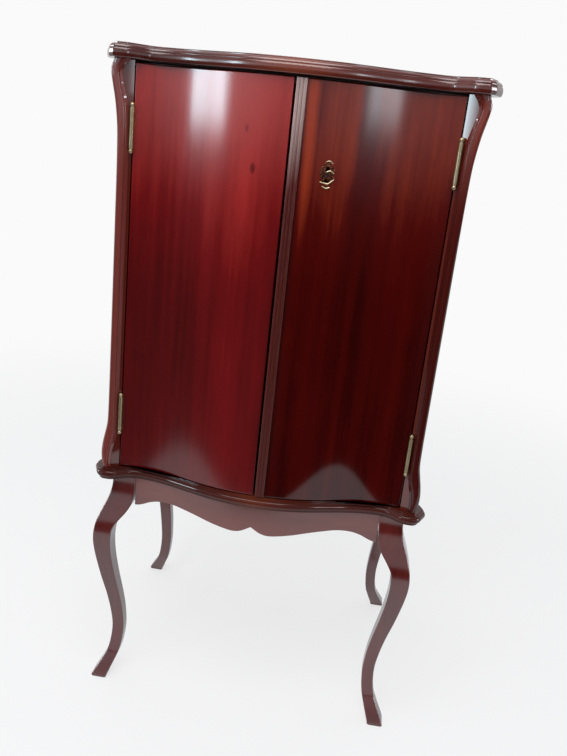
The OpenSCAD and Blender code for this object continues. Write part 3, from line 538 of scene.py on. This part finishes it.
def build_boards():
    """Base and top board, with the holes and recesses that take the bolts and their keepers."""
    bead = BASE_T - 9.3
    tall = bead / 2 / math.sin(math.radians(BEAD_ANGLE))
    base_profile = (BASE_FOOT + arc((BEAD_IN, BEAD_FOOT + bead / 2), BEAD_IN, tall, -BEAD_ANGLE, BEAD_ANGLE, 16)
                    + BASE_HEAD)
    outline = board_outline(LIP - 1, 0.56, EAR_OUT, FACE_Y - EAR_FRONT + 1, SIDE_LIP, 5.2, 5.2)
    base = board("base_board_moulding", outline, base_profile, LEG_H, wood_base, "base_board")
    band = TOP_T * 0.6
    cove = TOP_T - band - 3
    belly = [(1.0 * (k / 6 - 1)**2, 1.0 + (band - 1.6) * k / 12) for k in range(13)]
    top_profile = ([(2.6, 0.0), (1.7, 0.25)] + belly + [(1.4, band - 0.15), (1.9, band), (2.0, band + 0.4)]
                   + arc((8.0, band + 0.8), 6.2, cove, 0, 90, 12)
                   + [(8.6, TOP_T - 2.0), (8.6, TOP_T - 0.9), (8.9, TOP_T - 0.25), (9.6, TOP_T)])
    outline = board_outline(LIP, 0.33, EAR_OUT + 1, FACE_Y - EAR_FRONT - 1, SIDE_LIP, 1.2, 0.0)
    top = board("top_board_moulding", outline, top_profile, Z_TOP, wood_top, "top_board")
    for piece, face, out in ((base, Z_BASE, -1), (top, Z_TOP, 1)):
        for half_x, half_y, deep in (KEEPER, KEEPER_HOLE):
            low, high = sorted((face - out, face + out * deep))
            carve(piece, [((BOLT_X - half_x, BOLT_Y - half_y, low), (BOLT_X + half_x, BOLT_Y + half_y, high))])


def carve(piece, boxes):
    """Cuts boxes, given as (low corner, high corner) in millimetres, out of a piece."""
    bm = bmesh.new()
    for low, high in boxes:
        low, high = Vector(low), Vector(high)
        turn = Matrix.Translation((low + high) / 2) @ Matrix.Diagonal((*(high - low), 1.0))
        bmesh.ops.create_cube(bm, size=1.0, matrix=turn)
    bmesh.ops.scale(bm, vec=(MM, MM, MM), verts=bm.verts)
    mesh = bpy.data.meshes.new("cutter")
    bm.to_mesh(mesh)
    bm.free()
    cutter = bpy.data.objects.new("cutter", mesh)
    scene.collection.objects.link(cutter)
    piece.modifiers.clear()
    cut = piece.modifiers.new("cut", "BOOLEAN")
    cut.object, cut.operation, cut.solver = cutter, "DIFFERENCE", "EXACT"
    shaped = bpy.data.meshes.new_from_object(piece.evaluated_get(bpy.context.evaluated_depsgraph_get()))
    piece.modifiers.clear()
    piece.data = shaped
    shaped.set_sharp_from_angle(angle=math.radians(SHARP_ANGLE))
    bpy.data.objects.remove(cutter)
    even_shading(piece)


def door_rings(x0, x1):
    """Outlines of a door from bottom to top, with rounded arrises."""
    steps = FRONT_STEPS
    xs = [x0 + (x1 - x0) * i / steps for i in range(steps + 1)]
    front = [(x, wave(x), 0.0) for x in xs]
    back = [(x, plain_wave(x) + DOOR_T, 0.0) for x in reversed(xs)]
    corners = front + back
    for i in (0, steps, steps + 1, 2 * steps + 1):
        corners[i] = (*corners[i][:2], ARRIS)
    plan = rounded(corners, ARRIS_STEPS)
    rings = [[(q.x, q.y, DOOR_Z0 + up) for q in inset(plan, depth)] for depth, up in ARRIS_LEVELS]
    return rings + [[(q.x, q.y, DOOR_Z1 - up) for q in inset(plan, depth)]
                    for depth, up in reversed(ARRIS_LEVELS)]


def build_doors():
    """Door leaves, with the cuts for hinges, bolt guides, strike, lock and keyhole."""
    lock_y = plain_wave(0) + DOOR_T - LOCK_DEEP
    plate_y = plain_wave(0) + DOOR_T - PLATE_DEEP
    for side, x0, x1, material in ((-1, -DOOR_X, -MEET, wood_left), (1, MEET, DOOR_X, wood_right)):
        word = "left" if side < 0 else "right"
        bm = bmesh.new()
        loft(bm, door_rings(x0, x1))
        door = to_piece(f"door_{word}_leaf", bm, material, f"{word}_door", (f"door_{word}",))
        cuts = []
        for z in Z_HINGES:
            edge = sorted((side * (DOOR_X + 3), side * (DOOR_X - LEAF_T)))
            cuts.append(((edge[0], FACE_Y - 8, z - HINGE_L / 2), (edge[1], FACE_Y + LEAF_W, z + HINGE_L / 2)))
        if side < 0:
            half_x, half_z = GUIDE_HALF
            for z in (DOOR_Z0 + GUIDE_END, DOOR_Z1 - GUIDE_END):
                cuts.append(((BOLT_X - half_x, plate_y, z - half_z), (BOLT_X + half_x, plate_y + 6, z + half_z)))
            cuts.append(((-22.1, plate_y, Z_KEY - 3.1), (0, plate_y + 6, Z_KEY + 27.1)))
        else:
            cuts.append(((MEET + 1.1, lock_y, Z_KEY - 26.1), (MEET + 15.3 + KEY_X, lock_y + 30, Z_KEY + 26.1)))
            cuts.append(((KEY_X - 2, wave(KEY_X) - 2, Z_KEY - 7), (KEY_X + 2, lock_y + 1, Z_KEY + 2)))
        carve(door, cuts)


def build_bead():
    """Reeded bead on the meeting edge of the right door."""
    width, steps, seat = 15.0, 60, 0.05
    line = [(MEET, wave(MEET) - seat)]
    for i in range(steps + 1):
        u = i / steps
        reed = 2.4 + 1.5 * abs(math.sin(3 * math.pi * u))**0.65
        x = MEET + width * u
        line.append((x, wave(x) - reed))
    line.append((MEET + width, wave(MEET + width) - seat))
    bm = bmesh.new()
    loft(bm, [[(x, y, z) for x, y in line] for z in (DOOR_Z0, DOOR_Z1)])
    to_piece("meeting_bead", bm, wood_bead, "right_door", ("astragal",), sharp=50.0)


POST_OUT = [(0, 0.7 * SWEEP_LOW), (0.02, 0.95 * SWEEP_LOW), (0.045, SWEEP_LOW), (0.07, 0.86 * SWEEP_LOW),
            (0.095, 0.6 * SWEEP_LOW), (0.125, 0.32 * SWEEP_LOW), (0.165, 3), (0.22, 2.8), (0.5, 3), (0.72, 3.2),
            (0.8, 3.6), (0.85, 0.28 * SWEEP_TOP), (0.885, 0.41 * SWEEP_TOP), (0.915, 0.58 * SWEEP_TOP),
            (0.94, 0.78 * SWEEP_TOP), (0.962, 0.95 * SWEEP_TOP), (0.98, SWEEP_TOP), (1, 0.76 * SWEEP_TOP)]
POST_IN_MID = 3.0 - POST_W
POST_IN = [(at, share * POST_IN_MID) for at, share in (
    (0, 0.32), (0.025, 0.3), (0.05, 0.48), (0.07, 0.72), (0.095, 0.98), (0.13, 1), (0.78, 1), (0.87, 0.95),
    (0.9, 0.8), (0.925, 0.54), (0.95, 0.23), (0.968, 0.07), (0.982, 0.26), (0.991, 0.54), (1, 0.88))]


def splay_y(x):
    """Line of the stile's splayed face at distance x past the side panel."""
    return FACE_Y - SPLAY * (x + SIDE_T) / SIDE_T


def build_posts():
    """S-curved pilasters that wrap the front corners of the case."""
    stations = ([0.16 * i / 26 for i in range(27)] + [0.2, 0.24, 0.36, 0.5, 0.62, 0.7]
                + [0.74 + 0.26 * i / 40 for i in range(41)])
    front = FACE_Y - POST_PROUD
    for side, word in ((-1, "left"), (1, "right")):
        rings = []
        for t in stations:
            a, b = min(blend_knots(POST_IN, t), -0.5), blend_knots(POST_OUT, t)
            foot = splay_y(a)
            section = rounded([
                (a, foot, 0), (a, foot - 1.4, 0.5), (a + 3.3, front + 3.0, 0.5), (a + 4.3, front + 3.2, 0.2),
                (a + 4.5, front + 0.7, 1.2), ((a + b) / 2 + 1.5, front - 0.35, 3.6), (b, front + 1.1, 4.8),
                (b, FACE_Y + STILE_D, 2.0), (0, FACE_Y + STILE_D, 0), (0, splay_y(0), 0)], 6)
            rings.append([(side * (HALF_W + p.x), p.y, Z_BASE + t * CASE_H) for p in section])
        bm = bmesh.new()
        loft(bm, rings)
        to_piece(f"post_{word}_pilaster", bm, wood_post_left if side < 0 else wood_post_right,
                 stands_for=(f"post_{word}",))


LEG_LINE = [(0, 0), (0.012, 0.5), (0.04, 0.24 * ANKLE_IN), (0.075, 0.52 * ANKLE_IN), (0.115, 0.78 * ANKLE_IN),
            (0.17, 0.94 * ANKLE_IN), (0.245, ANKLE_IN), (0.33, 0.87 * ANKLE_IN), (0.42, 0.64 * ANKLE_IN),
            (0.52, 0.32 * ANKLE_IN), (0.62, 0.04 * ANKLE_IN), (0.69, -0.8 * KNEE_OUT), (0.735, -KNEE_OUT),
            (0.775, -0.6 * KNEE_OUT), (0.81, 0.05 * HEAD_IN), (0.85, 0.34 * HEAD_IN), (0.89, 0.66 * HEAD_IN),
            (0.93, 0.9 * HEAD_IN), (0.965, HEAD_IN), (1, HEAD_IN)]
LEG_SIZE = [(0, FOOT_W), (0.012, FOOT_W), (0.05, FOOT_W - 2.4), (0.09, ANKLE_W + 1.2), (0.14, ANKLE_W),
            (0.26, ANKLE_W), (0.33, ANKLE_W + 1.2), (0.42, ANKLE_W + 2.6), (0.52, ANKLE_W + 4.8),
            (0.62, ANKLE_W + 7), (0.69, ANKLE_W + 9), (0.735, ANKLE_W + 10), (0.775, 0.8 * HEAD_W),
            (0.81, 0.92 * HEAD_W), (0.85, 1.07 * HEAD_W), (0.885, 1.1 * HEAD_W), (0.92, 1.03 * HEAD_W),
            (0.95, HEAD_W), (1, HEAD_W)]


def build_legs():
    """Cabriole legs of square section with softened arrises."""
    stations = [0.0, 0.0015, 0.004, 0.009, 0.016] + [0.024 + 0.976 * i / 84 for i in range(85)]
    for side, word in ((-1, "left"), (1, "right")):
        for end, where, y0 in ((1, "front", LEG_FRONT_Y), (-1, "rear", LEG_REAR_Y)):
            rings = []
            for t in stations:
                size, line = blend_knots(LEG_SIZE, t), blend_knots(LEG_LINE, t)
                soft = 2.6 if t > 0.003 else 2.6 + (0.003 - t) * 300
                shrink = 0.5 * max(0.0, 0.004 - t) / 0.004
                low, high = line + shrink, line + size - shrink
                section = rounded([(low, low, soft), (high, low, soft), (high, high, soft), (low, high, soft)], 4)
                rings.append([(side * (FOOT_SPAN / 2 - p.x), y0 + end * p.y, t * LEG_H) for p in section])
            bm = bmesh.new()
            loft(bm, rings)
            to_piece(f"leg_{where}_{word}_cabriole", bm, wood_leg,
                     stands_for=(f"leg_{where}_{word}",))


FRONT_SCALLOP = [(0, 0.76), (0.065, 0.925), (0.13, 1), (0.2, 0.985), (0.33, 0.9), (0.45, 0.8), (0.56, 0.73),
                 (0.68, 0.68), (0.79, 0.72), (0.87, 0.82), (0.93, 0.94), (0.97, 1), (1, 1.01)]
PLAIN_SCALLOP = [(0, 0.64), (0.4, 0.64), (0.72, 0.7), (0.88, 0.92), (1, 1)]


def apron_section(low, high):
    """Section of a rail across its length: (depth, height) with softened lower arrises."""
    return rounded([(0, high, 0), (0, low, 1.6), (APRON_T, low, 1.0), (APRON_T, high, 0)], 4)


def build_aprons():
    head_front, head_rear = LEG_FRONT_Y + HEAD_IN, LEG_REAR_Y - HEAD_IN
    count = 150
    rings = []
    for i in range(-count, count + 1):
        u = abs(i) / count
        depth = 0.76 + 0.165 * u / 0.065 if u < 0.065 else blend_knots(FRONT_SCALLOP, u)
        x = HEAD_X * i / count
        rings.append([(x, wave(x) + 2 + p.x, p.y) for p in apron_section(LEG_H - APRON_H * depth, LEG_H)])
    bm = bmesh.new()
    loft(bm, rings)
    to_piece("apron_front_rail", bm, wood_rail, stands_for=("apron_front",))
    length = head_rear - head_front - 2 * HEAD_W
    middle = (head_front + head_rear) / 2
    for name, half, sag, where in (("left", length / 2, APRON_H - 2, -1), ("right", length / 2, APRON_H - 2, 1),
                                   ("rear", HEAD_X, APRON_H - 6, 0)):
        rings = []
        for i in range(-60, 61):
            depth = blend_knots(PLAIN_SCALLOP, abs(i) / 60)
            run = half * i / 60
            section = apron_section(LEG_H - sag * depth, LEG_H)
            if where:
                rings.append([(where * (HEAD_X + HEAD_W - 3 - p.x), middle + run, p.y) for p in section])
            else:
                rings.append([(run, head_rear - 3 - p.x, p.y) for p in section])
        bm = bmesh.new()
        loft(bm, rings)
        to_piece(f"apron_{name}_rail", bm, wood_rail_side if where else wood_side,
                 stands_for=(f"apron_{name}",))


def on_door(x, z, lift=0.0):
    """Placement on the front of the right door: local z points out of the wood."""
    turn = Matrix.Rotation(wave_angle(x), 4, "Z") @ Matrix.Rotation(math.radians(90), 4, "X")
    return Matrix.Translation((x, wave(x), z)) @ turn @ Matrix.Translation((0, 0, lift))


def tube(bm, path, radii, lift, matrix):
    """Round bar along a flat path, thinner where the radii say so."""
    rings = []
    last = len(path) - 1
    for i, here in enumerate(path):
        ahead = (Vector(path[min(i + 1, last)]) - Vector(path[max(i - 1, 0)])).normalized()
        across = Vector((-ahead.y, ahead.x, 0))
        rings.append([matrix @ (Vector((*here, lift)) + across * (radii[i] * math.cos(a))
                                + Vector((0, 0, radii[i] * math.sin(a))))
                      for a in [2 * math.pi * k / 10 for k in range(10)]])
    loft(bm, rings)


def scroll(middle, start, stop, from_angle, sweep, mirror, steps=26):
    """Spiral path round a middle, with its radius going from start to stop."""
    path = []
    for k in range(steps + 1):
        u = k / steps
        angle = math.radians(from_angle + sweep * u)
        radius = start + (stop - start) * u
        path.append((mirror * (middle[0] + radius * math.cos(angle)), middle[1] + radius * math.sin(angle)))
    return path


# Keyhole as corners (across, up, radius)
KEYHOLE = ((-2.0, 0.6, 1.2), (-0.95, -1.8, 0), (-1.15, -6.4, 0.5), (1.15, -6.4, 0.5), (0.95, -1.8, 0),
           (2.0, 0.6, 1.2), (1.4, 2.2, 1.0), (-1.4, 2.2, 1.0))
# Scrolls of the plate: middle, first and last radius, first angle, sweep
KEYHOLE_SCROLLS = (((5.2, 6.4), 4.6, 1.2, -70, 330), ((4.8, -5.6), 4.2, 1.1, 70, -330),
                   ((3.0, 12.2), 3.6, 1.0, 200, -300))
# Raised knobs of the plate: middle, radius
KEYHOLE_KNOBS = (((0, 16.6), 2.6), ((0, -15.2), 2.3), ((0, -18.0), 1.5), ((5.2, 6.4), 1.5), ((-5.2, 6.4), 1.5),
                 ((4.8, -5.6), 1.4), ((-4.8, -5.6), 1.4))
# Rims of the plate that hands have rubbed bright: knots of (share of the line, across, up)
KEYHOLE_RIMS = (
    ((0, -2.8, 16.6), (0.5, 2.2, 18.0), (1, 6.4, 14.8)),
    ((0, -2.6, 2.4), (0.5, 4.2, 4.8), (1, 9.8, 1.2)),
    ((0, -9.4, -11.2), (0.45, -0.6, -12.6), (0.6, 2.4, -12.6), (1, 10.4, -6.0)),
    ((0, -5.6, -16.8), (0.5, 0.4, -19.0), (1, 5.6, -17.2)))


def build_escutcheon():
    """Cast keyhole plate: an oval with C-scrolls, a crest and a drop."""
    matrix = on_door(KEY_X, Z_KEY)
    bm = bmesh.new()
    outline = []
    for k in range(96):
        a = 2 * math.pi * k / 96
        wide = 7.6 + 1.4 * math.cos(4 * a) + 1.0 * math.cos(2 * a)
        tall = 13.6 + 1.2 * math.cos(6 * a)
        outline.append(Vector((wide * math.cos(a), tall * math.sin(a))))
    levels = ((0.0, 0.02), (0.0, 0.7), (0.35, 1.05), (1.1, 1.25), (2.6, 1.5), (4.4, 1.7))
    loft(bm, [[matrix @ Vector((q.x, q.y, up)) for q in inset(outline, depth)] for depth, up in levels])
    for mirror in (-1, 1):
        for middle, start, stop, turn, sweep in KEYHOLE_SCROLLS:
            path = scroll(middle, start, stop, turn, sweep, mirror)
            radii = [1.15 - 0.45 * k / (len(path) - 1) for k in range(len(path))]
            tube(bm, path, radii, 1.3, matrix)
    for middle, size in KEYHOLE_KNOBS:
        place = matrix @ Matrix.Translation((*middle, 1.2)) @ Matrix.Diagonal((1.0, 1.0, 0.6, 1.0))
        bmesh.ops.create_uvsphere(bm, u_segments=20, v_segments=12, radius=size, matrix=place)
    ring = [(3.1 * math.cos(a) * 0.9, 3.4 * math.sin(a) * 1.25 - 1.6) for a in
            [2 * math.pi * k / 40 for k in range(41)]]
    tube(bm, ring, [0.75] * 41, 1.75, matrix)
    to_piece("keyhole_plate", bm, brass_plate, "right_door", ("escutcheon",), sharp=50.0)
    bm = bmesh.new()
    for line in KEYHOLE_RIMS:
        steps = 14
        path = [tuple(blend_knots([(knot[0], knot[axis]) for knot in line], k / steps) for axis in (1, 2))
                for k in range(steps + 1)]
        tube(bm, path, [0.25 + 0.5 * math.sin(math.pi * k / steps) for k in range(steps + 1)], 2.0, matrix)
    to_piece("keyhole_rims", bm, brass_rubbed, "right_door", sharp=60.0)
    # A near-black sheet in the keyhole's shape, laid on the plate, is painted shade standing in for the dark hole.
    bm = bmesh.new()
    hole = rounded(KEYHOLE, 4)
    loft(bm, [[matrix @ Vector((q.x, q.y, up)) for q in hole] for up in (1.2, 1.82)])
    to_piece("keyhole_painted_shade", bm, keyhole_painted_shade_material, "right_door")


# Near-black paint of that sheet: painted shade.
def keyhole_shade_paint(s):
    return {"Base Color": s.mix((0.004, 0.003, 0.003), (0.012, 0.008, 0.006), s.noise(s.place(), 900.0)),
            "Roughness": s.noise(s.place(), 400.0) * 0.2 + 0.6}


keyhole_painted_shade_material = surface("keyhole_painted_shade", keyhole_shade_paint)


def crisp_copy(node, material, edge=0.5, sharp=30.0, flat_above=SHARP_ANGLE):
    """Piece with a CAD node's own shape, merged, with its sharp edges eased."""
    source = frame["nodes"][node]
    bm = bmesh.new()
    bm.from_mesh(source.data)
    bmesh.ops.remove_doubles(bm, verts=bm.verts, dist=1e-6)
    bmesh.ops.dissolve_limit(bm, angle_limit=math.radians(0.6), verts=bm.verts, edges=bm.edges)
    if edge:
        hard = [e for e in bm.edges if e.is_manifold and e.calc_face_angle(0.0) > math.radians(sharp)]
        bmesh.ops.bevel(bm, geom=hard, offset=edge * MM, offset_type="OFFSET", segments=2, profile=0.5,
                        affect="EDGES", clamp_overlap=True, material=-1)
    bmesh.ops.scale(bm, vec=(1 / MM,) * 3, verts=bm.verts)
    body = next(name for name, members in frame["record"]["behaviour"]["bodies"].items() if node in members)
    return to_piece(node + "_dressed", bm, material, body, (node,), flat_above)


def dress_cad():
    """Finishes for the pieces whose CAD shape is already right."""
    boards = {"shelf": wood_inside, "cleats": wood_cleat, "top_cleats": wood_cleat, "glue": wood_cleat,
              "back_panel": wood_back, "side": wood_side, "stile": wood_stile, "stop_rail": wood_rail}
    metals = {"hinge": brass, "screws": brass, "strike": brass, "bolt": brass, "lock_case": steel,
              "lock_bolt": brass, "back_screws": steel}
    for node, source in frame["nodes"].items():
        for word, material in boards.items():
            if node.startswith(word):
                plain = node.startswith(("stile", "back_panel"))
                crisp_copy(node, material, 0.0 if plain else 0.6,
                           flat_above=FLAT_ANGLE if plain else SHARP_ANGLE)
        for word, material in metals.items():
            if node.startswith(word):
                source.data.materials.clear()
                source.data.materials.append(material)


build_boards()
build_doors()
build_bead()
build_posts()
build_legs()
build_aprons()
build_escutcheon()
dress_cad()


def lamp(name, at, aim, width, height, power, colour=(1.0, 1.0, 1.0)):
    """Soft rectangular studio lamp."""
    data = bpy.data.lights.new(name, "AREA")
    data.shape, data.size, data.size_y = "RECTANGLE", width, height
    data.energy, data.color = power, colour
    light = bpy.data.objects.new(name, data)
    scene.collection.objects.link(light)
    look = Vector(aim) - Vector(at)
    light.matrix_world = Matrix.Translation(at) @ look.to_track_quat("-Z", "Y").to_matrix().to_4x4()


lamp("ceiling", (-0.2, -1.1, 2.3), (-0.15, -0.6, 0.0), 1.4, 1.4, 29.0)


# Azimuth and half-width in degrees, softness of the sides, sines of the elevations between which it
# starts, strength, colour
KEY_LIGHT = (-46.4, 3.0, 0.034, 0.001, 0.014, 20.0, (0.70, 0.91, 1.0))
FILL_LIGHT = (33.6, 2.4, 0.030, 0.026, 0.036, 10.0, (0.88, 0.93, 1.0))
LEFT_WINDOW = (-93.0, 7.0, 0.02, -0.03, 0.02, 16.0, (0.94, 0.96, 1.0))
RIGHT_WINDOW = (84.0, 7.0, 0.02, -0.02, 0.02, 16.0, (0.94, 0.96, 1.0))


# Level at which the camera sees floor and backdrop; 1 is white
SEEN_WHITE = 0.955


def far_light(s, direction, azimuth, half, soft, low, full, strength, colour):
    """Tall light far off in the room, at an azimuth in degrees from straight in front."""
    x, y, z = direction
    turn = math.radians(azimuth)
    aside = x * math.cos(turn) + y * math.sin(turn)
    aside = aside.sum("ABSOLUTE", aside)
    ahead = x * math.sin(turn) - y * math.cos(turn)
    edge = math.sin(math.radians(half))
    shape = (1 - aside.rise(edge - soft, edge)) * ahead.rise(0.2, 0.4) * z.rise(low, full) * (1 - z.rise(0.2, 0.4))
    return s.mix((0.0, 0.0, 0.0), tuple(strength * c for c in colour), shape)


def room():
    """White backdrop behind the cabinet, a dimmer room in front of it and four far lights in that room."""
    world = bpy.data.worlds.new("room")
    scene.world = world
    world.use_nodes = True
    s = Shade(world.node_tree)
    x, y, z = s.axes(s.node("ShaderNodeTexCoord", output="Generated"))
    behind = (y - x * 0.25).rise(-0.2, 0.35)
    left = (0 - x).rise(-0.4, 0.8)
    front = z.rise(-0.08, 0.07) * (1.15 - z.rise(0.2, 0.5) * 0.75) * (left * 0.45 + 0.65)
    front = front * (1 - x.band(-0.12, 0.5) * 0.35) + 0.02
    level = behind * (0.92 - front) + front
    seen = s.node("ShaderNodeLightPath", output="Is Camera Ray")
    level = seen * (SEEN_WHITE - level) + level
    direction = (x, y, z)
    tone = s.mix((0.86, 0.94, 1.0), (1.0, 1.0, 1.0), behind)
    lights = [s.node("ShaderNodeBackground", {}, {"Color": tone, "Strength": level})]
    mirrored = s.node("ShaderNodeLightPath", output="Is Glossy Ray")
    for light, share in ((KEY_LIGHT, 1 - seen), (FILL_LIGHT, 1 - seen), (LEFT_WINDOW, mirrored),
                         (RIGHT_WINDOW, mirrored)):
        colour = far_light(s, direction, *light)
        lights.append(s.node("ShaderNodeBackground", {}, {"Color": colour, "Strength": share}))
    whole = lights[0]
    for light in lights[1:]:
        whole = s.node("ShaderNodeAddShader", {}, [whole, light])
    s.node("ShaderNodeOutputWorld", {}, {"Surface": whole})


FLOOR_RADIUS = 9.0


def floor():
    """Pale floor that fades into the backdrop for the camera.

    Scattered and mirrored rays also meet the near edge of the cloth, past which the floor is dark.
    """
    bm = bmesh.new()
    bmesh.ops.create_circle(bm, cap_ends=True, radius=FLOOR_RADIUS, segments=96)
    mesh = bpy.data.meshes.new("floor")
    bm.to_mesh(mesh)
    bm.free()
    ground = bpy.data.objects.new("floor", mesh)
    scene.collection.objects.link(ground)
    material = bpy.data.materials.new("pale_floor")
    material.use_nodes = True
    s = Shade(material.node_tree)
    x, y, z = s.axes(s.place())
    away = (x * x + y * y) ** 0.5
    camera = s.node("ShaderNodeLightPath", output="Is Camera Ray")
    left = (0 - x).rise(0.1, 0.9)
    dim = (0 - y - x * 0.16 - left * 0.085).rise(0.955, left * 0.03 + 0.985) * (1 - camera)
    # Past the cloth's edge the floor is dark, and it darkens further towards the right; that fall to the right is
    # painted shade, the right lying away from the light.
    dark = s.mix((0.07, 0.065, 0.065), (0.02, 0.018, 0.018), x.rise(-0.4, 0.3))
    colour = s.mix((0.88, 0.885, 0.90), dark, dim)
    plain = s.node("ShaderNodeBsdfDiffuse", {}, {"Color": colour})
    glossy = s.node("ShaderNodeLightPath", output="Is Glossy Ray") * (1 - dim)
    tone = s.mix((1.0, 1.0, 1.0), (0.9, 0.97, 1.0), glossy)
    white = s.node("ShaderNodeEmission", {}, {"Color": tone, "Strength": SEEN_WHITE})
    pale = (away.rise(0.9, 2.4) * 0.28 + 0.72) * camera + glossy * 0.95
    mixed = s.node("ShaderNodeMixShader", {}, {0: pale, 1: plain, 2: white})
    s.node("ShaderNodeOutputMaterial", {}, {"Surface": mixed})
    mesh.materials.append(material)


room()
floor()
